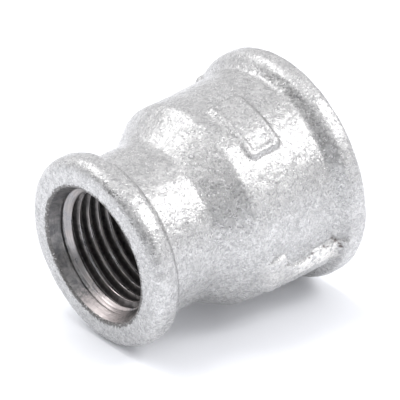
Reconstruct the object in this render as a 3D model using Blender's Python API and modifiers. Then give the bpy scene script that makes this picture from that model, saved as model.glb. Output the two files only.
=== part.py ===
"""A banded reducing socket for threaded pipe, 3/4 by 1/2: one galvanised malleable-iron casting.

The bore axis lies along X. The small end faces -X and the large end faces +X. The origin is on the
axis, halfway between the end faces, so the fitting lies on its side with Z up.

Sizes are in millimetres and become metres only in axis_point(). Along the axis, places are given as
the distance from the small end's face. Angles about the axis run from +Z, and are negative towards -Y.
"""

import math

import bmesh
import bpy
from mathutils import Matrix, Vector
from mathutils.geometry import interpolate_bezier

MM = 0.001
MERGE_DISTANCE = 0.00001      # metres: closes the turned seam
FACETS = 36                   # facets round the axis
CURVE_STEPS = 3               # straight pieces in each arc or curve of an outline

# The casting outside
LENGTH = 39.0                 # face to face, as the standard gives for this size
NECK_RADIUS = 13.25
SHOULDER_RADIUS = 16.8
BODY_RADIUS = 16.95           # where the body meets the large bead
NECK_START = 7.4
CONE_FOOT = 13.7              # where the cone's line meets the neck's line
CONE_FOOT_ROUND = 1.3         # how far the rounding reaches either way along the outline
SHOULDER_AT = 19.2            # where the cone's line meets the body's line
SHOULDER_ROUND = 1.2
BODY_END = 33.7

# The beads: the raised bands that stiffen each end
# Each has a crown radius, a round front corner, a flat crown, and a round back that turns down by sweep.
SMALL_BEAD = {"crown": 15.65, "corner": 2.0, "flat": 1.05, "back": 2.0, "sweep": math.radians(75)}
LARGE_BEAD = {"crown": 19.05, "corner": 1.05, "flat": 1.1, "back": 1.85, "sweep": math.radians(50)}

# The cored and machined inside
PITCH = 25.4 / 14             # both threads have 14 turns to the inch
THREAD_DEPTH = 0.640327 * PITCH
FLANK = math.radians(27.5)    # half of the 55 degree thread angle
CREST_WIDTH = PITCH / 6
SMALL_MAJOR = 20.955 / 2      # parallel pipe thread, size 1/2
LARGE_MAJOR = 26.441 / 2      # parallel pipe thread, size 3/4
SMALL_MINOR = SMALL_MAJOR - THREAD_DEPTH
LARGE_MINOR = LARGE_MAJOR - THREAD_DEPTH
RECESS_DEPTH = 2.55           # plain lead-in at each mouth
RECESS_OVER = 0.65            # how far the recess mouth stands outside the thread's major radius
RECESS_TAPER = 0.98
EDGE_BREAK = 0.25
CHAMBER_SMALL = SMALL_MAJOR + 0.42
CHAMBER_LARGE = LARGE_MAJOR + 0.38
THREAD_TURNS = 7              # full turns of thread behind each recess
CHAMBER_STEP = (17.2, 18.0, 20.4, 22.0)

# The taps' starts: distance from the small end's face, and length in turns
SMALL_TAP = {"start": 0.08, "turns": 9.5}
LARGE_TAP = {"start": 21.2, "turns": 10.0}
TAP_BELOW_BORE = 0.35         # how far the cutter's back lies inside the bore
TAP_SHOULDER = 0.05

# Two longitudinal ribs for the wrench, opposite each other, and a plain raised pad
RIB_ANGLES = (math.radians(-118), math.radians(62))
RIB_WIDTH = math.radians(21)
RIB_HEIGHT = 0.85
RIB_START = 19.6
RIB_RAMP = 2.6
RIB_END = 36.0
RIB_HEEL = 0.8                # how far the rib's buried heel reaches back from its start
RIB_SUNK = 0.6                # how deep the heel's top lies under the body
RIB_ROOT = 15.2               # radius of the buried roots of the ribs and the pad
PAD_ANGLE = math.radians(-26)
PAD_WIDTH = math.radians(38)
PAD_CENTRE = 25.4
PAD_LENGTH = 6.4
PAD_HEIGHT = 0.45
PAD_SLOPE = 0.3               # how far the pad's ends lean in

ZINC = (0.72, 0.73, 0.74, 1.0)


def axis_point(along, radius):
    """A point of an outline before it is turned: local Z is the bore axis and local X the radius."""
    return Vector((radius * MM, 0.0, (along - LENGTH / 2) * MM))


def arc(centre, radius, start, end):
    """Points round a circle in (along, radius) terms: angle 0 points along the axis, 90 degrees out."""
    steps = [start + (end - start) * k / CURVE_STEPS for k in range(CURVE_STEPS + 1)]
    return [(centre[0] + radius * math.cos(a), centre[1] + radius * math.sin(a)) for a in steps]


def curve(start, start_handle, end_handle, end):
    """Points along a Bezier curve in (along, radius) terms, without its two ends."""
    corners = [Vector((*p, 0.0)) for p in (start, start_handle, end_handle, end)]
    points = interpolate_bezier(*corners, CURVE_STEPS + 1)
    return [(p.x, p.y) for p in points[1:-1]]


def bead(sizes):
    """A bead from its flat face at 0 to the end of its round back."""
    crown, corner, back = sizes["crown"], sizes["corner"], sizes["back"]
    front = arc((corner, crown - corner), corner, math.pi, math.pi / 2)
    inner = arc((corner + sizes["flat"], crown - back), back, math.pi / 2, math.pi / 2 - sizes["sweep"])
    return front + inner


def body_radius(along):
    """The body's slight taper, from the shoulder to the large bead."""
    share = (along - SHOULDER_AT) / (BODY_END - SHOULDER_AT)
    return SHOULDER_RADIUS + (BODY_RADIUS - SHOULDER_RADIUS) * share


def hollow(bead_end, sweep, wall_end):
    """The hollow from a bead's flank, which goes straight on down, to the wall, without its two ends."""
    along = math.copysign((bead_end[1] - wall_end[1]) / math.tan(sweep), wall_end[0] - bead_end[0])
    corner = (bead_end[0] + along, wall_end[1])
    return curve(bead_end, corner, corner, wall_end)


def towards(start, end, distance):
    """The point at a distance from start on the line to end, in (along, radius) terms."""
    length = math.hypot(end[0] - start[0], end[1] - start[1])
    return tuple(a + (b - a) * distance / length for a, b in zip(start, end))


def rounded(before, corner, after, reach):
    """A rounding of the corner between two straight lines, from reach before it to reach after it."""
    first, last = towards(corner, before, reach), towards(corner, after, reach)
    return [first, *curve(first, corner, corner, last), last]


def outer_outline():
    """The casting's outside from the small face to the large face."""
    small = bead(SMALL_BEAD)
    large = [(LENGTH - a, r) for a, r in reversed(bead(LARGE_BEAD))]
    neck = (NECK_START, NECK_RADIUS)
    cone_foot = (CONE_FOOT, NECK_RADIUS)
    shoulder = (SHOULDER_AT, SHOULDER_RADIUS)
    body_end = (BODY_END, BODY_RADIUS)
    return (
        small
        + hollow(small[-1], SMALL_BEAD["sweep"], neck)
        + [neck]
        + rounded(neck, cone_foot, shoulder, CONE_FOOT_ROUND)
        + rounded(cone_foot, shoulder, body_end, SHOULDER_ROUND)
        + [body_end]
        + hollow(large[0], LARGE_BEAD["sweep"], body_end)[::-1]
        + large
    )


def mouth(major, minor):
    """The edge break, the plain recess and the chamfer that leads into a thread, from the face inwards."""
    rim = major + RECESS_OVER
    floor = rim - RECESS_TAPER
    return [
        (0.0, rim + EDGE_BREAK),
        (EDGE_BREAK, rim),
        (RECESS_DEPTH, floor),
        (RECESS_DEPTH + floor - minor, minor),
    ]


def inner_outline():
    """The inside from the small face to the large face, before the threads are cut."""
    step_in, small_end, large_start, step_out = CHAMBER_STEP
    small_mouth = mouth(SMALL_MAJOR, SMALL_MINOR)
    large_mouth = [(LENGTH - a, r) for a, r in reversed(mouth(LARGE_MAJOR, LARGE_MINOR))]
    thread = THREAD_TURNS * PITCH
    return (
        small_mouth
        + [(small_mouth[-1][0] + thread, SMALL_MINOR), (step_in, CHAMBER_SMALL), (small_end, CHAMBER_SMALL)]
        + [(large_start, CHAMBER_LARGE), (step_out, CHAMBER_LARGE), (large_mouth[0][0] - thread, LARGE_MINOR)]
        + large_mouth
    )


def rib_outline():
    """A rib's side view: it ramps up from the shoulder and runs into the large bead."""
    top = BODY_RADIUS + RIB_HEIGHT
    heel = RIB_START - RIB_HEEL
    sunk = body_radius(RIB_START) - RIB_SUNK
    return [(heel, RIB_ROOT), (heel, sunk), (RIB_START + RIB_RAMP, top), (RIB_END, top),
            (RIB_END, RIB_ROOT)]


def pad_outline():
    """The raised pad's side view, with its edges drawn in a little towards the top."""
    low, high = PAD_CENTRE - PAD_LENGTH / 2, PAD_CENTRE + PAD_LENGTH / 2
    top = body_radius(PAD_CENTRE) + PAD_HEIGHT
    return [(low, RIB_ROOT), (low, top - PAD_HEIGHT), (low + PAD_SLOPE, top), (high - PAD_SLOPE, top),
            (high, top - PAD_HEIGHT), (high, RIB_ROOT)]


def groove_outline(start, major):
    """The tap's tooth: a V with a flat crest, on a parallel back that lies inside the bore."""
    minor = major - THREAD_DEPTH
    shoulder = minor - TAP_SHOULDER
    half_crest = CREST_WIDTH / 2
    half_base = half_crest + (major - shoulder) * math.tan(FLANK)
    back = minor - TAP_BELOW_BORE
    return [(start - half_base, back), (start - half_base, shoulder), (start - half_crest, major),
            (start + half_crest, major), (start + half_base, shoulder), (start + half_base, back)]


def spun_solid(name, outline, collection, first, turn, advance=0.0):
    """A closed solid: the outline swept about the axis by turn from first, advancing as it goes."""
    mesh = bpy.data.meshes.new(name)
    form = bmesh.new()
    corners = [form.verts.new(axis_point(*p)) for p in outline]
    face = form.faces.new(corners)
    steps = max(2, round(turn / (2 * math.pi) * FACETS))
    bmesh.ops.rotate(form, verts=corners, cent=(0, 0, 0), matrix=Matrix.Rotation(first, 3, "Z"))
    bmesh.ops.spin(
        form,
        geom=[face, *face.edges, *face.verts],
        cent=(0, 0, 0),
        axis=(0, 0, 1),
        dvec=(0, 0, advance * MM / steps),
        angle=turn,
        steps=steps,
        use_duplicate=False,
    )
    bmesh.ops.recalc_face_normals(form, faces=form.faces)
    form.to_mesh(mesh)
    form.free()
    solid = bpy.data.objects.new(name, mesh)
    collection.objects.link(solid)
    return solid


def hide_tool(tool):
    """Marks a cutter or an added form as a tool, which isn't a part itself."""
    tool.hide_render = True
    tool.display_type = "WIRE"


def combine(target, tool, operation):
    """Joins a tool's solid to the target, or cuts it away, with a Boolean modifier."""
    hide_tool(tool)
    change = target.modifiers.new(tool.name, "BOOLEAN")
    change.operation = operation
    change.object = tool
    change.solver = "EXACT"


def turned_casting(collection):
    """The casting as one closed outline turned about the axis."""
    loop = list(reversed(outer_outline())) + inner_outline()
    mesh = bpy.data.meshes.new("reducer_body")
    count = len(loop)
    edges = [(k, (k + 1) % count) for k in range(count)]
    mesh.from_pydata([axis_point(*p) for p in loop], edges, [])
    casting = bpy.data.objects.new("reducer_body", mesh)
    collection.objects.link(casting)
    turn = casting.modifiers.new("turn", "SCREW")
    turn.axis = "Z"
    turn.angle = 2 * math.pi
    turn.steps = FACETS
    turn.render_steps = FACETS
    turn.use_merge_vertices = True
    turn.merge_threshold = MERGE_DISTANCE
    return casting


def local_angle(angle):
    """An angle from +Z in the finished frame, as the sweep's own angle about local Z."""
    return math.pi - angle


def galvanised():
    """Hot-dip zinc on cast iron."""
    material = bpy.data.materials.new("galvanised_iron")
    material.use_nodes = True
    shader = material.node_tree.nodes["Principled BSDF"]
    shader.inputs["Base Color"].default_value = ZINC
    shader.inputs["Metallic"].default_value = 0.9
    shader.inputs["Roughness"].default_value = 0.42
    return material


def main():
    for thing in list(bpy.data.objects):
        bpy.data.objects.remove(thing)
    parts = bpy.data.collections.new("reducing_socket")
    tools = bpy.data.collections.new("tools")
    bpy.context.scene.collection.children.link(parts)
    bpy.context.scene.collection.children.link(tools)

    bore_axis = bpy.data.objects.new("bore_axis", None)
    bore_axis.rotation_euler = (0.0, math.pi / 2, 0.0)
    parts.objects.link(bore_axis)

    casting = turned_casting(parts)
    casting.data.materials.append(galvanised())
    half_facet = math.pi / FACETS
    for number, angle in enumerate(RIB_ANGLES, 1):
        first = local_angle(angle) - RIB_WIDTH / 2
        rib = spun_solid(f"rib_{number}", rib_outline(), tools, first, RIB_WIDTH)
        combine(casting, rib, "UNION")
    first = local_angle(PAD_ANGLE) - PAD_WIDTH / 2
    pad = spun_solid("pad", pad_outline(), tools, first, PAD_WIDTH)
    combine(casting, pad, "UNION")
    for name, tap, major in (("small_tap", SMALL_TAP, SMALL_MAJOR), ("large_tap", LARGE_TAP, LARGE_MAJOR)):
        outline = groove_outline(tap["start"], major)
        turn = 2 * math.pi * tap["turns"]
        advance = PITCH * tap["turns"]
        cutter = spun_solid(name, outline, tools, half_facet, turn, advance)
        combine(casting, cutter, "DIFFERENCE")

    for thing in [*parts.objects, *tools.objects]:
        if thing is not bore_axis:
            thing.parent = bore_axis
    casting.data.shade_smooth()


main()
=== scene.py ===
"""The looks of the galvanised reducing socket: its fine casting, its zinc and cut metal, and a studio.

Lengths below are in millimetres, and MM turns them into metres where objects are made.
Along the axis, a place is given as the distance s from the small end's face. Angles about the axis run
from +Z and are negative towards -Y, which is the side that the camera sees.
"""

import math

import bpy
import numpy as np
from mathutils import Matrix, Vector, noise


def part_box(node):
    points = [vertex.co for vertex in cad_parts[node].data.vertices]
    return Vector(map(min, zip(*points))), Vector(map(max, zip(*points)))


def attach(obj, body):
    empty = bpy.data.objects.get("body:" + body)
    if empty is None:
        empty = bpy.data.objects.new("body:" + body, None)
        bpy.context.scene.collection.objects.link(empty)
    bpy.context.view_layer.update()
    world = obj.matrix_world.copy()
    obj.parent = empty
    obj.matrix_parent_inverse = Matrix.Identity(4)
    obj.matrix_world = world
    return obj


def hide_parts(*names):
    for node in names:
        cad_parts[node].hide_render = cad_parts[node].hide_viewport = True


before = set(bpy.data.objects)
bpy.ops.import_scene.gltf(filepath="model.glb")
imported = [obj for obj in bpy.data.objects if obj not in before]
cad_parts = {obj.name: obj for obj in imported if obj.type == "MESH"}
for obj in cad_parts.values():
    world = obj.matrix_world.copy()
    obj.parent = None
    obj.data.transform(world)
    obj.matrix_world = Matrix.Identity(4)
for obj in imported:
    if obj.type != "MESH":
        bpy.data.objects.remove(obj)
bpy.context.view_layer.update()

MM = 0.001
CAD_NODE = "reducer_body"
low_corner, high_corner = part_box(CAD_NODE)
LENGTH = (high_corner.x - low_corner.x) / MM
LARGE_CROWN = high_corner.y / MM

# The casting's outline, as the frame has it
SMALL_CROWN = 15.65
NECK_RADIUS = 13.25
SHOULDER_RADIUS = 16.8
BODY_RADIUS = 16.95
NECK_START = 7.4
CONE_FOOT = 13.7
CONE_FOOT_ROUND = 1.3
SHOULDER_AT = 19.2
SHOULDER_ROUND = 1.2
BODY_END = 33.7
SMALL_BEAD = {"crown": SMALL_CROWN, "corner": 2.0, "flat": 1.05, "back": 2.0, "sweep": math.radians(75)}
LARGE_BEAD = {"crown": LARGE_CROWN, "corner": 1.05, "flat": 1.1, "back": 1.85, "sweep": math.radians(50)}

# The inside: each end has a recess, a chamfer and a parallel pipe thread, and a cored chamber lies between
PITCH = 25.4 / 14
THREAD_DEPTH = 0.640327 * PITCH
FLANK = math.radians(27.5)
SMALL_MAJOR = 20.955 / 2
LARGE_MAJOR = 26.441 / 2
RECESS_DEPTH = 2.55
RECESS_OVER = 0.65
RECESS_TAPER = 0.98
EDGE_BREAK = 0.25
THREAD_TURNS = 7
CHAMBER_SMALL = SMALL_MAJOR + 0.42
CHAMBER_LARGE = LARGE_MAJOR + 0.38
CHAMBER_STEP = (17.2, 18.0, 20.4, 22.0)
SMALL_CREST_AT_Y = 1.395      # where the small thread's crest crosses the +Y side, from the small face
LARGE_CREST_AT_Y = 0.60       # and the large thread's, from the large face

# The mesh
COLUMNS = 384                 # round the outside
INNER_SHARE = 3               # outside columns to each inside one
ROW = 0.30                    # spacing of the outside rows along the outline
DENSE_AT = math.radians(-108)   # the near rib's edge, where the columns crowd together
DENSE_REACH = math.radians(9)
DENSE_BY = 3.0                # how many more columns there are there
ZINC, CUT_METAL, GROOVE, CORED, RECESS = 0, 1, 2, 3, 4     # the order of the casting's materials
CHAMBER_ROUGHNESS = 0.12
# A pale patch is painted at the bottom of the small mouth as a glint, a painted highlight
GLINT_SHARE = (0.99, 1.12)   # the roughened cosine of the angle from straight down, for none of the painted glint and for all of it
GLINT_TO = -12.5             # how far in the painted glint reaches, along X, after a stretch where it fades
GLINT_FADE = 1.5


def smooth(value, start, end):
    """0 before start, 1 after end, and an S-curve between, for numbers or arrays."""
    t = np.clip((value - start) / (end - start), 0.0, 1.0)
    return t * t * (3 - 2 * t)


def bump(value, centre, width):
    """A bell curve of height 1."""
    return np.exp(-(((value - centre) / width) ** 2))


def turn_from(theta, centre):
    """The signed angle from centre to theta, in radians within half a turn."""
    return (theta - centre + math.pi) % (2 * math.pi) - math.pi


def column_angles():
    """The outside columns' angles, from 0 downwards, closer together at the near rib's edge."""
    fine = np.linspace(0, -2 * math.pi, 7201)
    crowd = 1 + DENSE_BY * bump(turn_from(fine, DENSE_AT), 0.0, DENSE_REACH)
    share = np.concatenate([[0], np.cumsum(crowd[1:])])
    return np.interp(np.arange(COLUMNS) / COLUMNS, share / share[-1], fine)


# ---------------------------------------------------------------- outlines

def arc(centre, radius, start, end, steps=10):
    """Points round a circle in (s, r) terms."""
    angles = np.linspace(start, end, steps + 1)
    return [(centre[0] + radius * math.cos(a), centre[1] + radius * math.sin(a)) for a in angles]


def curve(start, start_handle, end_handle, end, steps=12):
    """Points along a Bezier curve, without its ends."""
    t = np.linspace(0, 1, steps + 1)[1:-1, None]
    p = [np.array(q) for q in (start, start_handle, end_handle, end)]
    points = p[0] * (1 - t) ** 3 + 3 * p[1] * t * (1 - t) ** 2 + 3 * p[2] * t * t * (1 - t) + p[3] * t**3
    return [tuple(q) for q in points]


def bead(sizes):
    """A bead from its flat face at 0 to the end of its round back."""
    crown, corner, back = sizes["crown"], sizes["corner"], sizes["back"]
    front = arc((corner, crown - corner), corner, math.pi, math.pi / 2)
    inner = arc((corner + sizes["flat"], crown - back), back, math.pi / 2, math.pi / 2 - sizes["sweep"])
    return front + inner


def hollow(bead_end, sweep, wall_end):
    """The hollow from a bead's flank, which goes straight on down, to the wall, without its two ends."""
    along = math.copysign((bead_end[1] - wall_end[1]) / math.tan(sweep), wall_end[0] - bead_end[0])
    corner = (bead_end[0] + along, wall_end[1])
    return curve(bead_end, corner, corner, wall_end)


def towards(start, end, distance):
    """The point at a distance from start on the way to end."""
    length = math.dist(start, end)
    return tuple(a + (b - a) * distance / length for a, b in zip(start, end))


def rounded(before, corner, after, reach):
    """A rounding of the corner between two straight lines."""
    first, last = towards(corner, before, reach), towards(corner, after, reach)
    return [first, *curve(first, corner, corner, last), last]


def outer_outline(small_rim, large_rim):
    """The outside from the small recess's rim, over the faces and the body, to the large recess's rim."""
    small = bead(SMALL_BEAD)
    large = [(LENGTH - s, r) for s, r in reversed(bead(LARGE_BEAD))]
    neck, cone_foot = (NECK_START, NECK_RADIUS), (CONE_FOOT, NECK_RADIUS)
    shoulder, body_end = (SHOULDER_AT, SHOULDER_RADIUS), (BODY_END, BODY_RADIUS)
    return (
        [(0.0, small_rim)]
        + small
        + hollow(small[-1], SMALL_BEAD["sweep"], neck)
        + [neck]
        + rounded(neck, cone_foot, shoulder, CONE_FOOT_ROUND)
        + rounded(cone_foot, shoulder, body_end, SHOULDER_ROUND)
        + [body_end]
        + hollow(large[0], LARGE_BEAD["sweep"], body_end)[::-1]
        + large
        + [(LENGTH, large_rim)]
    )


def resampled(points, spacing):
    """Points at even distances along an outline, and its outward normals there, both as (s, r)."""
    points = np.array(points)
    along = np.concatenate([[0], np.cumsum(np.hypot(*np.diff(points, axis=0).T))])
    keep = np.concatenate([[True], np.diff(along) > 1e-6])
    points, along = points[keep], along[keep]
    places = np.linspace(0, along[-1], round(along[-1] / spacing) + 1)
    even = np.stack([np.interp(places, along, points[:, k]) for k in (0, 1)], axis=1)
    slope = np.gradient(even, axis=0)
    slope /= np.linalg.norm(slope, axis=1)[:, None]
    return even, np.stack([-slope[:, 1], slope[:, 0]], axis=1)


# ---------------------------------------------------------------- the casting's surface

# Two ribs for the wrench. The near one's upper edge, on the side towards the top, is torn and uneven.
RIB_HEIGHT = 0.95
RIB_START = 19.4
RIB_RAMP = 3.0
RIB_END = (35.2, 36.4)        # where the ribs start to sink at the large bead, and where they are gone
RIB_WIDTH = math.radians(21)
NEAR_RIB = math.radians(-118)
FAR_RIB = math.radians(62)
RIB_SLOPE = math.radians(0.8)
RIB_FOOT = math.radians(2.5)
FAR_RIB_SETBACK = math.radians(5)    # how much narrower the far rib is, on its upper side
# The near rib's upper edge, as angles at some places along the axis
NEAR_RIB_EDGE_S = (18.0, 21.7, 23.8, 24.8, 26.0, 28.0, 29.3, 33.0, 35.0)
NEAR_RIB_EDGE_DEG = (-104.3, -103.1, -101.8, -110.0, -113.5, -113.0, -110.0, -110.0, -108.5)
NEAR_RIB_CREST = math.radians(-119.5)
RIB_STEP = 0.6                # the share of the height that the near rib's upper edge steps up at once
# How much of the near rib's upper slope is painted pale, as ground metal and a painted highlight where the
# slope faces up, at some places along it
GROUND_HIGHLIGHT_S = (19.4, 22.0, 25.5, 27.5, 34.2, 35.4)
GROUND_HIGHLIGHT_SHARE = (0.0, 0.45, 0.35, 0.95, 0.95, 0.0)
# Where the gate was broken off and ground: pits along the edge, as (s, degrees, depth, radius)
RIB_PITS = ((28.9, -112.6, 0.20, 0.24), (29.5, -111.0, 0.30, 0.28), (32.0, -110.6, 0.25, 0.26),
            (32.7, -111.4, 0.30, 0.28), (34.3, -109.8, 0.40, 0.36), (35.0, -112.6, 0.30, 0.32),
            (34.8, -111.0, 0.20, 0.24), (24.7, -109.4, 0.55, 0.36), (33.7, -108.6, 0.15, 0.22))

# A plain raised pad with a low border stands where foundries cast their mark
PAD_ANGLE = math.radians(-26)
PAD_WIDTH = math.radians(38)
PAD_CENTRE = 25.4
PAD_LENGTH = 6.4
PAD_HEIGHT = 0.36
PAD_BORDER = 0.20
PAD_BORDER_WIDTH = 0.95
PAD_CORNER = 1.1
PAD_SIDE = (-0.12, 0.42)      # from outside its outline to inside it, where its sloping side starts and ends
PAD_BORDER_SIDE = 0.4

# The sand casting's unevenness: wavelength and height of each layer
WAVINESS = ((7.5, 0.085), (3.0, 0.055), (1.5, 0.040), (0.85, 0.018))
CORE_SHIFT = math.radians(30)  # the top half of the mould stood a little over this way
SHIFT_MEAN, SHIFT_SWING = -0.14, 0.34
SHIFT_AT, SHIFT_REACH = 18.6, 2.2


def body_noise(points, wavelength, seed):
    """Smooth noise between about -1 and 1 at each point."""
    shift = Vector((seed * 17.3, seed * 9.1, seed * 4.7))
    return np.array([noise.noise(Vector(p) / wavelength + shift) for p in points])


def rib_edge(s):
    """The angle of the near rib's upper edge."""
    return np.interp(s, NEAR_RIB_EDGE_S, np.radians(NEAR_RIB_EDGE_DEG))


def rib_height(theta, s):
    """How far the two ribs stand out of the body."""
    ramp = smooth(s, RIB_START, RIB_START + RIB_RAMP) * (1 - smooth(s, *RIB_END))
    lower = NEAR_RIB - RIB_WIDTH / 2
    upper = rib_edge(s)
    step = 1 - smooth(theta, upper - RIB_SLOPE, upper + RIB_SLOPE)
    climb = 1 - smooth(theta, NEAR_RIB_CREST, upper)
    near = (RIB_STEP * step + (1 - RIB_STEP) * climb) * smooth(theta, lower - RIB_FOOT, lower + RIB_FOOT)
    off = np.abs(turn_from(theta, FAR_RIB + FAR_RIB_SETBACK / 2)) - (RIB_WIDTH - FAR_RIB_SETBACK) / 2
    far = 1 - smooth(off, -RIB_FOOT, RIB_FOOT * 0.4)
    return RIB_HEIGHT * ramp * np.maximum(near, far)


def rib_pits(theta, s, radius):
    """The pits along the near rib's edge: how deep they are, and how much dirt they hold from 0 to 1."""
    depth, dirt = 0.0, 0.0
    for place, degrees, deep, reach in RIB_PITS:
        across = turn_from(theta, math.radians(degrees)) * radius
        form = bump(np.hypot(s - place, across), 0.0, reach)
        depth = depth + deep * form
        dirt = np.maximum(dirt, 0.9 * smooth(form, 0.3, 0.9))
    return depth, dirt


def ground_highlight_patch(theta, s):
    """Where the near rib's upper slope is painted pale, from 0 to 1: ground metal and a painted highlight
    where the slope faces up.
    """
    upper = rib_edge(s)
    below_edge = 1 - smooth(theta, upper - RIB_SLOPE, upper)
    above_crest = smooth(theta, NEAR_RIB_CREST - RIB_FOOT, NEAR_RIB_CREST)
    return below_edge * above_crest * np.interp(s, GROUND_HIGHLIGHT_S, GROUND_HIGHLIGHT_SHARE)


def pad_height(theta, s, radius):
    """A rounded rectangle with a low border round its sunken field."""
    across = np.abs(turn_from(theta, PAD_ANGLE)) * radius - PAD_WIDTH / 2 * BODY_RADIUS + PAD_CORNER
    along = np.abs(s - PAD_CENTRE) - PAD_LENGTH / 2 + PAD_CORNER
    outside = np.hypot(np.maximum(across, 0), np.maximum(along, 0))
    depth_in = PAD_CORNER - outside - np.minimum(np.maximum(across, along), 0)
    side = smooth(depth_in, *PAD_SIDE)
    border = side * (1 - smooth(depth_in, PAD_BORDER_WIDTH, PAD_BORDER_WIDTH + PAD_BORDER_SIDE))
    return PAD_HEIGHT * side + PAD_BORDER * border


def casting_shift(theta, s):
    """The mould's mismatch, which makes the shoulder fuller above than below."""
    return (SHIFT_MEAN + SHIFT_SWING * np.cos(theta - CORE_SHIFT)) * bump(s, SHIFT_AT, SHIFT_REACH)


def outer_skin(small_rim, large_rim):
    """The outside's points as rows by columns by xyz, with the dirt and the pale patch at each, which is
    ground metal and a painted highlight.
    """
    even, normal = resampled(outer_outline(small_rim, large_rim), ROW)
    theta = column_angles()
    s, r = (np.repeat(even[:, k, None], COLUMNS, axis=1) for k in (0, 1))
    ns, nr = (np.repeat(normal[:, k, None], COLUMNS, axis=1) for k in (0, 1))
    angle = np.broadcast_to(turn_from(theta, 0.0), s.shape)
    points = np.stack([s, r * np.sin(angle), r * np.cos(angle)], axis=2).reshape(-1, 3)
    lift = sum(height * body_noise(points, wave, k) for k, (wave, height) in enumerate(WAVINESS))
    lift = lift.reshape(s.shape)
    depth, dirt = rib_pits(angle, s, r)
    # The pale patch on the near rib's upper slope: ground metal and a painted highlight
    ground_highlight = ground_highlight_patch(angle, s)
    on_body = smooth(nr, 0.3, 0.8)
    lift = lift + on_body * (rib_height(angle, s) + pad_height(angle, s, r) + casting_shift(angle, s) - depth)
    s, r = s + ns * lift, r + nr * lift
    return np.stack([s, r * np.sin(angle), r * np.cos(angle)], axis=2), dirt, ground_highlight


# ---------------------------------------------------------------- the inside

THREAD_PHASES = (-0.435, -0.4, -0.25, -0.1, -0.065, 0.0, 0.065, 0.1, 0.25, 0.4, 0.435, 0.5)
EDGE_ROUND = 0.05
CREST_HALF = 0.11             # half of the crest's share of a turn, with its rounded edges


def soft_rise(value):
    """A ramp that starts at 0 with a small rounding."""
    return (value + np.sqrt(value * value + EDGE_ROUND * EDGE_ROUND)) / 2


def thread_radius(turns_from_crest, minor):
    """The tap's cut: the wall's radius at a place given in turns of pitch from the material's crest."""
    off = np.abs(turns_from_crest - np.round(turns_from_crest)) * PITCH
    run = THREAD_DEPTH * math.tan(FLANK)
    start = (PITCH / 2 - run) / 2
    return minor + (soft_rise(off - start) - soft_rise(off - start - run)) / math.tan(FLANK)


class Bore:
    """One end's recess, chamfer and thread. Depths d run inwards from that end's face."""

    def __init__(self, major, crest_at_y, chamber_at, chamber_radius, sign):
        self.minor = major - THREAD_DEPTH
        self.rim = major + RECESS_OVER
        self.floor = self.rim - RECESS_TAPER
        self.thread_start = RECESS_DEPTH + self.floor - self.minor
        self.thread_end = self.thread_start + THREAD_TURNS * PITCH
        self.crest_at_y = crest_at_y
        self.chamber_at, self.chamber_radius = chamber_at, chamber_radius
        self.sign = sign          # 1 at the small end, where depth grows with s, and -1 at the large end

    def wall(self, d):
        """The radius of the turned wall at a depth, without the thread."""
        depths = (0, EDGE_BREAK, RECESS_DEPTH, self.thread_start, self.thread_end, self.chamber_at)
        radii = (self.rim + EDGE_BREAK, self.rim, self.floor, self.minor, self.minor, self.chamber_radius)
        return np.interp(d, depths, radii)

    def cut_wall(self, d, psi):
        """The wall with the tap's groove in it, at depths d and angles psi from +Y towards +Z."""
        turns = (d - self.crest_at_y) / PITCH - self.sign * psi / (2 * math.pi)
        return np.maximum(self.wall(d), thread_radius(turns, self.minor))

    def points(self, d, psi):
        """Points in (s, y, z) on the cut wall."""
        d, psi = np.broadcast_arrays(d, psi)
        r = self.cut_wall(d, psi)
        s = d if self.sign > 0 else LENGTH - d
        return np.stack([s, r * np.cos(psi), r * np.sin(psi)], axis=-1)


class Shell:
    """Collects the casting's vertices and faces, with a material number for each face."""

    def __init__(self):
        self.points, self.faces, self.materials = [], [], []
        self.count = 0

    def add_points(self, array):
        """Adds points of shape (..., 3) and returns their numbers in the same shape."""
        flat = np.asarray(array).reshape(-1, 3)
        numbers = np.arange(self.count, self.count + len(flat)).reshape(np.shape(array)[:-1])
        self.points.append(flat)
        self.count += len(flat)
        return numbers

    def add_faces(self, corners, material):
        """Adds quads, leaving out repeated corners, so that a quad with no area vanishes."""
        for quad in corners.reshape(-1, corners.shape[-1]).tolist():
            face = [v for k, v in enumerate(quad) if v != quad[k - 1]]
            if len(set(face)) > 2:
                self.faces.append(face)
                self.materials.append(material)

    def join_rings(self, first, second, material):
        """A band of quads between two rings with the same number of points."""
        self.add_faces(np.stack([first, np.roll(first, -1), np.roll(second, -1), second], axis=-1), material)

    def join_unlike(self, outer, inner, material, flip):
        """A band of triangles from a ring to one with INNER_SHARE times fewer points."""
        for k, near in enumerate(inner):
            after = inner[(k + 1) % len(inner)]
            fan = [outer[(k * INNER_SHARE + step) % len(outer)] for step in range(INNER_SHARE + 1)]
            half = (INNER_SHARE + 1) // 2
            strip = [[near, fan[j + 1], fan[j]] for j in range(half)]
            strip += [[near, after, fan[half]]]
            strip += [[after, fan[j + 1], fan[j]] for j in range(half, INNER_SHARE)]
            self.add_faces(np.array(strip)[:, :: -1 if flip else 1], material)


def ring_depths(bore):
    """The rows of rings from the rim to where the thread starts, closer at each corner."""
    crisp = 0.03
    return np.concatenate([
        np.linspace(0, EDGE_BREAK, 4)[1:],
        np.linspace(EDGE_BREAK + crisp, RECESS_DEPTH - crisp, 18),
        np.linspace(RECESS_DEPTH, bore.thread_start - crisp, 8),
        [bore.thread_start],
    ])


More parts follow.
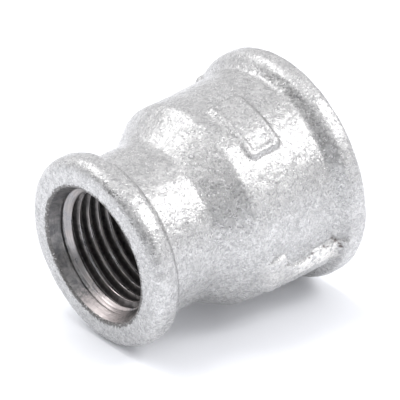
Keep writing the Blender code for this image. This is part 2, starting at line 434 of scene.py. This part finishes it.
def helical_band(shell, bore, psi, start_ring, end_ring):
    """The thread: rows that follow the helix, clipped at the rings before and behind them."""
    rows = len(THREAD_PHASES)
    lead = bore.sign * psi / (2 * math.pi)
    first = math.floor((bore.thread_start - bore.crest_at_y) / PITCH - lead.max()) - 1
    last = math.ceil((bore.thread_end - bore.crest_at_y) / PITCH - lead.min()) + 1
    phases = np.array([turn + phase for turn in range(first, last + 1) for phase in THREAD_PHASES])
    d = bore.crest_at_y + (phases[:, None] + lead[None, :]) * PITCH
    sliver = 0.02
    before, behind = d <= bore.thread_start + sliver, d >= bore.thread_end - sliver
    inside = ~(before | behind)
    numbers = np.where(before, start_ring[None, :], end_ring[None, :])
    spread = np.broadcast_to(psi, d.shape)
    numbers[inside] = shell.add_points(bore.points(d[inside], spread[inside]))
    shift = bore.sign * rows
    partner = np.arange(len(phases)) + shift
    seam = np.where(partner < 0, start_ring[0], end_ring[0])
    known = (partner >= 0) & (partner < len(phases))
    seam[known] = numbers[partner[known], 0]
    nearer = np.concatenate([numbers[:, 1:], seam[:, None]], axis=1)
    quads = np.stack([numbers[:-1], numbers[1:], nearer[1:], nearer[:-1]], axis=-1)
    quads = quads if bore.sign > 0 else quads[..., ::-1]
    middle = (phases[:-1] + phases[1:]) / 2
    on_crest = np.abs(middle - np.round(middle)) < CREST_HALF
    shell.add_faces(quads[on_crest], CUT_METAL)
    shell.add_faces(quads[~on_crest], GROOVE)


def ring_band(shell, before, after, sign, material):
    """A band of the inside between two rings, in order of depth from an end whose sign is given."""
    if sign > 0:
        before, after = after, before
    shell.join_rings(before, after, material)


def add_bore(shell, bore, rim_ring, psi):
    """Adds one end's inside, from the outside's rim ring to the chamber, and returns its last ring."""
    depths = ring_depths(bore)
    rings = [shell.add_points(bore.points(d, psi)) for d in depths]
    shell.join_unlike(rim_ring, rings[0], ZINC, flip=bore.sign < 0)
    for depth, before, after in zip(depths, rings, rings[1:]):
        material = CUT_METAL if depth > RECESS_DEPTH - EDGE_ROUND else RECESS if depth > EDGE_BREAK else ZINC
        ring_band(shell, before, after, bore.sign, material)
    beyond = np.linspace(bore.thread_end, bore.chamber_at, 9)
    run_out = [shell.add_points(bore.points(d, psi)) for d in beyond]
    helical_band(shell, bore, psi, rings[-1], run_out[0])
    for before, after in zip(run_out, run_out[1:]):
        ring_band(shell, before, after, bore.sign, CUT_METAL)
    return run_out[-1]


def chamber_rings(shell, psi):
    """The cored chamber between the threads, as cast."""
    places = np.linspace(CHAMBER_STEP[0], CHAMBER_STEP[-1], 14)[1:-1]
    radii = np.interp(places, CHAMBER_STEP, (CHAMBER_SMALL, CHAMBER_SMALL, CHAMBER_LARGE, CHAMBER_LARGE))
    rings = []
    for place, radius in zip(places, radii):
        ring = np.stack([np.full(len(psi), place), radius * np.cos(psi), radius * np.sin(psi)], axis=-1)
        rough = 1 + CHAMBER_ROUGHNESS * body_noise(ring, 2.2, 5) / radius
        rings.append(shell.add_points(ring * np.stack([np.ones_like(rough), rough, rough], axis=-1)))
    return rings


def build_casting():
    """The whole casting as one closed mesh, in metres, with its materials."""
    shell = Shell()
    small_at, large_at = CHAMBER_STEP[0], CHAMBER_STEP[-1]
    small = Bore(SMALL_MAJOR, SMALL_CREST_AT_Y, small_at, CHAMBER_SMALL, 1)
    large = Bore(LARGE_MAJOR, LARGE_CREST_AT_Y, LENGTH - large_at, CHAMBER_LARGE, -1)
    surface, dirt, ground_highlight = outer_skin(small.rim + EDGE_BREAK, large.rim + EDGE_BREAK)
    skin = shell.add_points(surface)
    for before, after in zip(skin, skin[1:]):
        shell.join_rings(before, after, ZINC)
    psi = math.pi / 2 - column_angles()[::INNER_SHARE]
    deep_small = add_bore(shell, small, skin[0], psi)
    deep_large = add_bore(shell, large, skin[-1], psi)
    rings = [deep_small, *chamber_rings(shell, psi), deep_large]
    for before, after in zip(rings, rings[1:]):
        shell.join_rings(after, before, CORED)
    points = (np.concatenate(shell.points) - [LENGTH / 2, 0, 0]) * MM
    mesh = bpy.data.meshes.new("reducer_casting")
    mesh.from_pydata(points.tolist(), [], shell.faces)
    for material in (galvanised_zinc(), cut_metal(), thread_groove(), cored_zinc(), recess_wall()):
        mesh.materials.append(material)
    mesh.polygons.foreach_set("material_index", shell.materials)
    for name, mask in (("dirt", dirt), ("ground_highlight", ground_highlight)):
        values = np.zeros(len(points))
        values[: mask.size] = mask.ravel()
        mesh.attributes.new(name, "FLOAT", "POINT").data.foreach_set("value", values)
    mesh.shade_smooth()
    casting = bpy.data.objects.new("reducer_casting", mesh)
    bpy.context.scene.collection.objects.link(casting)
    return casting


# ---------------------------------------------------------------- materials

class Maker:
    """Makes one node material, with a Principled BSDF and the object's own coordinates in millimetres."""

    def __init__(self, name):
        self.material = bpy.data.materials.new(name)
        self.material.use_nodes = True
        self.tree = self.material.node_tree
        self.shader = self.tree.nodes["Principled BSDF"]
        place = self.node("ShaderNodeTexCoord").outputs["Object"]
        scaled = self.node("ShaderNodeVectorMath", {0: place, 1: (1 / MM,) * 3}, operation="MULTIPLY")
        self.place = scaled.outputs[0]

    def node(self, kind, inputs=None, **settings):
        """Adds a node, sets its settings, and fills its inputs with values or links."""
        made = self.tree.nodes.new(kind)
        for name, value in settings.items():
            setattr(made, name, value)
        for name, value in (inputs or {}).items():
            if isinstance(value, bpy.types.NodeSocket):
                self.tree.links.new(value, made.inputs[name])
            else:
                made.inputs[name].default_value = value
        return made

    def noise(self, scale, detail=3.0, roughness=0.55, distortion=0.0, place=None):
        """Smooth noise from 0 to 1, with scale waves to the millimetre."""
        inputs = {"Vector": place or self.place, "Scale": scale, "Detail": detail,
                  "Roughness": roughness, "Distortion": distortion}
        return self.node("ShaderNodeTexNoise", inputs).outputs["Fac"]

    def range(self, value, low, high, to_low=0.0, to_high=1.0):
        """A value's place between low and high, kept within to_low and to_high."""
        inputs = {"Value": value, "From Min": low, "From Max": high, "To Min": to_low, "To Max": to_high}
        return self.node("ShaderNodeMapRange", inputs).outputs[0]

    def math(self, operation, first, second=0.0):
        """A sum, product or the like of two numbers or sockets."""
        return self.node("ShaderNodeMath", {0: first, 1: second}, operation=operation).outputs[0]

    def mix(self, share, first, second):
        """A colour between two colours, which may be tuples or sockets."""
        made = self.node("ShaderNodeMix", data_type="RGBA")
        slots = (made.inputs[0], made.inputs[6], made.inputs[7])    # the factor and the colours A and B
        for slot, value in zip(slots, (share, first, second)):
            if isinstance(value, bpy.types.NodeSocket):
                self.tree.links.new(value, slot)
            else:
                slot.default_value = value if isinstance(value, float) else (*value, 1.0)
        return made.outputs[2]

    def attribute(self, name):
        """One of the mesh's own masks."""
        return self.node("ShaderNodeAttribute", attribute_name=name).outputs["Fac"]

    def painted_glint(self):
        """A painted glint at the bottom of the small mouth, a highlight painted into the colour: 1 there and
        0 elsewhere.
        """
        along = self.node("ShaderNodeSeparateXYZ", {0: self.place}).outputs[0]
        flat = self.node("ShaderNodeVectorMath", {0: self.place, 1: (0.0, 1.0, 1.0)}, operation="MULTIPLY")
        way = self.node("ShaderNodeVectorMath", {0: flat.outputs[0]}, operation="NORMALIZE")
        straight_down = {0: way.outputs[0], 1: (0.0, 0.0, -1.0)}
        down = self.node("ShaderNodeVectorMath", straight_down, operation="DOT_PRODUCT")
        ragged = self.math("MULTIPLY", self.noise(2.4, detail=4.0), 0.30)
        spot = self.range(self.math("ADD", down.outputs["Value"], ragged), *GLINT_SHARE)
        return self.math("MULTIPLY", spot, self.range(along, GLINT_TO, GLINT_TO - GLINT_FADE))

    def rim_stains(self):
        """Ragged dark spots on the end faces, near the rims of the bores: 1 in a spot."""
        along = self.node("ShaderNodeSeparateXYZ", {0: self.place}).outputs[0]
        flat = self.node("ShaderNodeVectorMath", {0: self.place, 1: (0.0, 1.0, 1.0)}, operation="MULTIPLY")
        radius = self.node("ShaderNodeVectorMath", {0: flat.outputs[0]}, operation="LENGTH").outputs["Value"]
        rim = self.range(along, -1.0, 1.0, SMALL_MAJOR + RECESS_OVER, LARGE_MAJOR + RECESS_OVER)
        near = self.range(self.math("SUBTRACT", radius, rim), 0.35, 1.3, 0.5, 0.0)
        at_end = self.range(self.math("ABSOLUTE", along), LENGTH / 2 - 0.7, LENGTH / 2 - 0.3)
        spots = self.range(self.math("ADD", self.noise(2.4, detail=4.0, roughness=0.7), near), 0.86, 0.92)
        return self.math("MULTIPLY", spots, at_end)

    def bump(self, height, distance):
        """A bump of the given depth in millimetres for a height from 0 to 1."""
        inputs = {"Height": height, "Distance": distance * MM, "Strength": 1.0}
        return self.node("ShaderNodeBump", inputs).outputs[0]

    def finish(self, **sockets):
        """Fills the shader's inputs, named with underscores for spaces."""
        for name, value in sockets.items():
            socket = self.shader.inputs[name.replace("_", " ")]
            if isinstance(value, bpy.types.NodeSocket):
                self.tree.links.new(value, socket)
            else:
                socket.default_value = value
        return self.material


def pits(make, scale, size):
    """Scattered round specks: 1 inside a speck, in some of the cells of a Voronoi pattern."""
    cells = make.node("ShaderNodeTexVoronoi", {"Vector": make.place, "Scale": scale, "Randomness": 1.0})
    near = make.range(cells.outputs["Distance"], size, size * 0.3)
    chance = make.node("ShaderNodeSeparateColor", {0: cells.outputs["Color"]}).outputs[0]
    return make.math("MULTIPLY", near, make.range(chance, 0.86, 0.92))


def galvanised_zinc():
    """Hot-dip zinc over a sand casting: bright, finely wrinkled, with dull patches and a few pits."""
    make = Maker("galvanised_zinc")
    wrinkle = make.noise(1.7, detail=2.0, roughness=0.5, distortion=1.5)
    grain = make.noise(3.4, detail=2.5, roughness=0.6, distortion=1.0)
    swell = make.noise(0.75, detail=2.0, distortion=0.5)
    specks = pits(make, 0.55, 0.14)
    fold = make.math("SUBTRACT", make.noise(1.5, detail=2.0, roughness=0.5, distortion=1.8), 0.5)
    crease = make.range(make.math("ABSOLUTE", fold), 0.0, 0.045, 1.0, 0.0)
    height = make.math("ADD", make.math("MULTIPLY", wrinkle, 0.65), make.math("MULTIPLY", grain, 0.25))
    height = make.math("SUBTRACT", height, make.math("MULTIPLY", crease, 0.12))
    height = make.math("ADD", height, make.math("MULTIPLY", swell, 1.2))
    height = make.math("SUBTRACT", height, make.math("MULTIPLY", specks, 0.4))
    normal = make.bump(height, 0.125)
    patches = make.noise(0.42, detail=4.0, roughness=0.6, distortion=0.8)
    tone = make.mix(make.range(patches, 0.35, 0.70), (0.57, 0.565, 0.56), (0.70, 0.695, 0.69))
    tone = make.mix(make.range(wrinkle, 0.38, 0.56, 0.74, 0.0), tone, (0.36, 0.36, 0.362))
    tone = make.mix(make.range(grain, 0.34, 0.56, 0.36, 0.0), tone, (0.38, 0.38, 0.38))
    tone = make.mix(make.math("MULTIPLY", crease, 0.50), tone, (0.34, 0.34, 0.345))
    tone = make.mix(make.math("MULTIPLY", specks, 0.6), tone, (0.20, 0.20, 0.20))
    tone = make.mix(make.rim_stains(), tone, (0.17, 0.165, 0.16))
    # The near rib's upper slope is painted near white: ground metal and a painted highlight where the slope
    # faces up
    ground_highlight = make.math("MULTIPLY", make.attribute("ground_highlight"), make.range(make.noise(1.6, detail=4.0), 0.40, 0.50))
    tone = make.mix(ground_highlight, tone, (0.84, 0.825, 0.80))
    tone = make.mix(make.attribute("dirt"), tone, (0.085, 0.06, 0.055))
    gloss = make.range(make.noise(1.4, detail=3.0), 0.3, 0.7, 0.23, 0.34)
    return make.finish(Base_Color=tone, Metallic=1.0, Roughness=gloss, Normal=normal)


def cut_metal():
    """Bare iron on the chamfers and the threads' crests, with turning marks, a film of brown oil, and a
    painted glint at the small mouth's bottom.
    """
    make = Maker("cut_metal")
    stretched = make.node("ShaderNodeVectorMath", {0: make.place, 1: (9.0, 0.35, 0.35)}, operation="MULTIPLY")
    marks = make.noise(1.0, detail=3.0, roughness=0.6, place=stretched.outputs[0])
    film = make.noise(0.35, detail=3.0, distortion=0.6)
    chatter = make.noise(3.0, detail=2.0)
    tone = make.mix(make.range(film, 0.40, 0.62), (0.36, 0.36, 0.37), (0.46, 0.425, 0.41))
    tone = make.mix(make.range(marks, 0.40, 0.60, 0.0, 0.45), tone, (0.22, 0.21, 0.21))
    # The small mouth's bottom gets a pale painted glint
    tone = make.mix(make.math("MULTIPLY", make.painted_glint(), 0.9), tone, (0.62, 0.56, 0.55))
    height = make.math("ADD", marks, make.math("MULTIPLY", chatter, 0.5))
    normal = make.bump(height, 0.035)
    gloss = make.range(film, 0.35, 0.65, 0.24, 0.36)
    return make.finish(Base_Color=tone, Metallic=1.0, Roughness=gloss, Normal=normal)


def recess_wall():
    """The plain recess at each mouth: iron painted dark as the shade in the mouth, dull, with fine turning
    marks, random stains and, at the small mouth's bottom, a painted glint.
    """
    make = Maker("recess_wall")
    stretched = make.node("ShaderNodeVectorMath", {0: make.place, 1: (7.0, 0.5, 0.5)}, operation="MULTIPLY")
    marks = make.noise(1.0, detail=3.0, roughness=0.6, place=stretched.outputs[0])
    stains = make.noise(0.8, detail=4.0, roughness=0.65, distortion=0.5)
    # Both tones are dark painted shade for the recess inside the mouth
    tone = make.mix(make.range(stains, 0.38, 0.64), (0.16, 0.16, 0.165), (0.30, 0.29, 0.285))
    # The small mouth's bottom gets a pale painted glint
    tone = make.mix(make.math("MULTIPLY", make.painted_glint(), 0.85), tone, (0.62, 0.56, 0.55))
    height = make.math("ADD", marks, make.math("MULTIPLY", stains, 0.8))
    gloss = make.range(stains, 0.35, 0.65, 0.42, 0.30)
    return make.finish(Base_Color=tone, Metallic=1.0, Roughness=gloss, Normal=make.bump(height, 0.06))


def thread_groove():
    """The thread's flanks and roots, painted dark as the shade in the thread's grooves, in random blotches.
    """
    make = Maker("thread_groove")
    dirt = make.noise(0.9, detail=4.0, roughness=0.65)
    # Both tones are dark painted shade in the grooves, far darker than the cut crests
    tone = make.mix(make.range(dirt, 0.35, 0.65), (0.10, 0.095, 0.095), (0.23, 0.215, 0.21))
    gloss = make.range(dirt, 0.35, 0.65, 0.42, 0.28)
    return make.finish(Base_Color=tone, Metallic=1.0, Roughness=gloss, Normal=make.bump(dirt, 0.05))


def cored_zinc():
    """The chamber between the threads, as the core left it, under dull zinc."""
    make = Maker("cored_zinc")
    rough = make.noise(1.8, detail=4.0, roughness=0.65)
    tone = make.mix(make.range(rough, 0.35, 0.65), (0.30, 0.30, 0.31), (0.48, 0.48, 0.49))
    return make.finish(Base_Color=tone, Metallic=0.9, Roughness=0.5, Normal=make.bump(rough, 0.12))


# ---------------------------------------------------------------- the studio

LENS = 360.0
SENSOR = 36.0
CAMERA_AZIMUTH = math.radians(-37.395)
CAMERA_ELEVATION = math.radians(31.267)
CAMERA_ROLL = math.radians(-4.982)
CAMERA_DISTANCE = 615.16          # from the origin along the line of sight
CAMERA_AIM = (1.279, 1.027)       # how far right of and above the origin the line of sight passes
BEAD_SPAN = 35.0                  # from where one bead rests on the floor to where the other does
FLOOR_TILT = math.atan2(LARGE_CROWN - SMALL_CROWN, BEAD_SPAN)
FLOOR_HALF = 300.0
FLOOR_GAP = 0.01
LAMP_DISTANCE = 1200.0
WORLD_STRENGTH = 1.11
WORLD_COLOUR = (0.98, 0.98, 1.0)
# The sides: azimuth, elevation, how far a side reaches, how far its even middle does, and how dark it is,
# which is below 0 for a brighter one
SIDES = ((-118, 18, 35, 11, 0.48), (-92, 14, 38, 19, 0.66), (-58, 7, 31, 13, 0.65), (-28, 9, 32, 9, 0.60),
         (-2, 12, 34, 8, 0.42), (-62, 60, 34, 8, -0.22))
# The lamps: azimuth, elevation, size, and how bright the face is
KEY_SOFTBOX = (43, 44, (350, 420), 10.6)
BACK_SOFTBOX = (-160, 50, (1000, 450), 3.3)
TABLE_GLOW = (10, -68, (1500, 1500), 1.6)
FLOOR_WASH = (175, 74, (500, 500), 6.5)


def direction(azimuth, elevation):
    """The unit vector towards a camera or lamp: azimuth 0 is on the -Y side and 90 degrees on the +X side."""
    flat = math.cos(elevation)
    return Vector((math.sin(azimuth) * flat, -math.cos(azimuth) * flat, math.sin(elevation)))


def facing(back, roll=0.0):
    """A rotation whose local Z points along back, with local Y as near to up as it goes, then rolled."""
    right = Vector((0, 0, 1)).cross(back).normalized()
    turned = Matrix((right, back.cross(right), back)).transposed()
    return turned @ Matrix.Rotation(roll, 3, "Z")


def add_camera():
    """The camera, far off with a long lens."""
    data = bpy.data.cameras.new("camera")
    data.lens, data.sensor_width = LENS, SENSOR
    data.clip_start, data.clip_end = 0.01, 10
    camera = bpy.data.objects.new("camera", data)
    back = direction(CAMERA_AZIMUTH, CAMERA_ELEVATION)
    turned = facing(back, CAMERA_ROLL)
    aim = turned @ Vector((*CAMERA_AIM, 0.0))
    camera.matrix_world = Matrix.Translation((aim + back * CAMERA_DISTANCE) * MM) @ turned.to_4x4()
    bpy.context.scene.collection.objects.link(camera)
    bpy.context.scene.camera = camera


def add_softbox(name, azimuth, elevation, size, radiance):
    """A rectangular area lamp that looks at the fitting, of a given size and brightness of its face."""
    data = bpy.data.lights.new(name, "AREA")
    data.shape = "RECTANGLE"
    data.size, data.size_y = size[0] * MM, size[1] * MM
    data.energy = radiance * math.pi * data.size * data.size_y
    lamp = bpy.data.objects.new(name, data)
    back = direction(math.radians(azimuth), math.radians(elevation))
    lamp.matrix_world = Matrix.Translation(back * LAMP_DISTANCE * MM) @ facing(back).to_4x4()
    lamp.visible_camera = False
    bpy.context.scene.collection.objects.link(lamp)
    return lamp


def light_only(thing, lamp, casting):
    """Keeps a lamp's light to one object, and lets only the casting stand in its way."""
    for role, member in (("receiver", thing), ("blocker", casting)):
        group = bpy.data.collections.new(f"{lamp.name}_{role}")
        group.objects.link(member)
        setattr(lamp.light_linking, f"{role}_collection", group)


def add_floor(casting):
    """A plain pale floor under both beads, so the fitting lies on it as it would, tipped to the small end."""
    up = Vector((math.sin(FLOOR_TILT), 0, math.cos(FLOOR_TILT)))
    lowest = min(v.co.dot(up) for v in casting.data.vertices)
    mesh = bpy.data.meshes.new("floor")
    half = FLOOR_HALF * MM
    corners = [(-half, -half, 0), (half, -half, 0), (half, half, 0), (-half, half, 0)]
    mesh.from_pydata(corners, [], [(0, 1, 2, 3)])
    floor = bpy.data.objects.new("floor", mesh)
    place = Matrix.Translation(up * (lowest - FLOOR_GAP * MM))
    floor.matrix_world = place @ Matrix.Rotation(FLOOR_TILT, 4, "Y")
    make = Maker("floor_white")
    mesh.materials.append(make.finish(Base_Color=(0.86, 0.87, 0.90, 1.0), Roughness=0.6))
    bpy.context.scene.collection.objects.link(floor)
    return floor


def add_world():
    """Pale surroundings, darker behind the camera and beyond the small end, and brighter above the camera."""
    world = bpy.data.worlds.new("studio")
    world.use_nodes = True
    tree = world.node_tree
    place = tree.nodes.new("ShaderNodeTexCoord").outputs["Generated"]

    def node(kind, operation, *values):
        made = tree.nodes.new(kind)
        made.operation = operation
        for slot, value in zip(made.inputs, values):
            if isinstance(value, bpy.types.NodeSocket):
                tree.links.new(value, slot)
            else:
                slot.default_value = value
        return made

    def eased(value, low, high):
        made = tree.nodes.new("ShaderNodeMapRange")
        made.interpolation_type = "SMOOTHSTEP"
        tree.links.new(value, made.inputs["Value"])
        made.inputs["From Min"].default_value, made.inputs["From Max"].default_value = low, high
        return made.outputs[0]

    height = tree.nodes.new("ShaderNodeSeparateXYZ")
    tree.links.new(place, height.inputs[0])
    above = eased(height.outputs["Z"], -0.03, 0.05)
    light = None
    for azimuth, elevation, reach, core, depth in SIDES:
        towards_side = direction(math.radians(azimuth), math.radians(elevation))
        dot = node("ShaderNodeVectorMath", "DOT_PRODUCT", place, towards_side).outputs["Value"]
        lobe = eased(dot, math.cos(math.radians(reach)), math.cos(math.radians(core)))
        shade = node("ShaderNodeMath", "MULTIPLY", lobe, depth).outputs[0]
        shade = node("ShaderNodeMath", "MULTIPLY", shade, above).outputs[0]
        left = node("ShaderNodeMath", "SUBTRACT", 1.0, shade).outputs[0]
        light = left if light is None else node("ShaderNodeMath", "MULTIPLY", light, left).outputs[0]
    background = tree.nodes["Background"]
    background.inputs["Color"].default_value = (*WORLD_COLOUR, 1.0)
    strength = node("ShaderNodeMath", "MULTIPLY", light, WORLD_STRENGTH).outputs[0]
    tree.links.new(strength, background.inputs["Strength"])
    bpy.context.scene.world = world


bpy.context.scene.view_settings.view_transform = "Standard"
casting = build_casting()
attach(casting, "root")
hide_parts(CAD_NODE)
floor = add_floor(casting)
add_world()
add_softbox("key_softbox", *KEY_SOFTBOX)
add_softbox("back_softbox", *BACK_SOFTBOX)
light_only(casting, add_softbox("table_glow", *TABLE_GLOW), casting)
light_only(floor, add_softbox("floor_wash", *FLOOR_WASH), casting)
add_camera()
